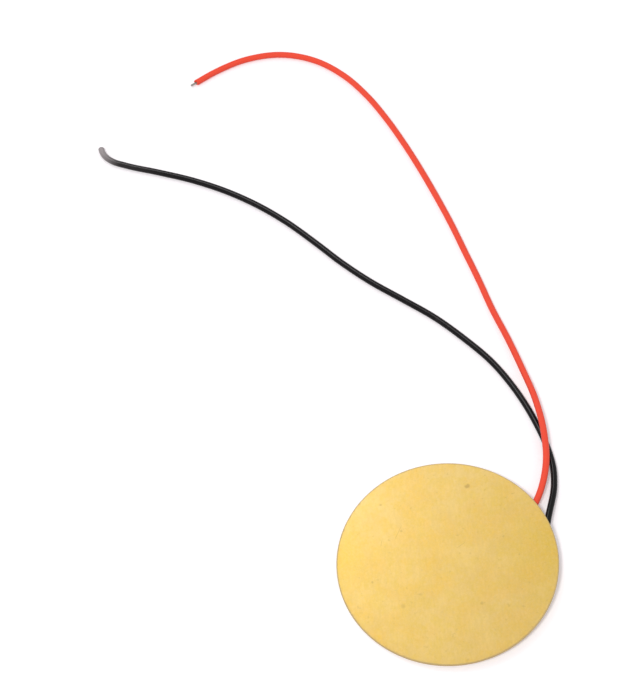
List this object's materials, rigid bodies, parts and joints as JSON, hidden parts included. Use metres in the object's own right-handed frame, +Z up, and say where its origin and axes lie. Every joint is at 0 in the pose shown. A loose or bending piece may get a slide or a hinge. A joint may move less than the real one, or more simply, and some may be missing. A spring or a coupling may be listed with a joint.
{
  "type": "piezo disc",
  "caption": "Round brass-backed piezo disc with a soldered red lead and black lead, lying brass side up.",
  "frame": {"origin": "on the surface that the disc lies on, under the middle of the disc", "axes": "+Z up, with the brass face up and tipped up by 3.6 degrees towards +X; the leads run off towards +Y"},
  "size_m": [0.0596, 0.0956, 0.002],
  "materials": {
    "brass": "satin, fine grain",
    "adhesive": "cured epoxy",
    "silver": "matt fired silver",
    "ceramic": "matt, unglazed",
    "solder": "shiny with fine frosting",
    "tinned_copper": "dull tinned",
    "red_pvc": "satin PVC",
    "black_pvc": "satin PVC"
  },
  "bodies": {
    "root": {"brass_plate": "brass", "bond_layer": "adhesive", "inner_electrode": "silver", "ceramic_disc": "ceramic", "outer_electrode": "silver", "signal_solder": "solder", "ground_solder": "solder", "signal_conductor": "tinned_copper", "ground_conductor": "tinned_copper", "red_lead": "red_pvc", "black_lead": "black_pvc", "red_conductor_tip": "tinned_copper"}
  },
  "joints": []
}
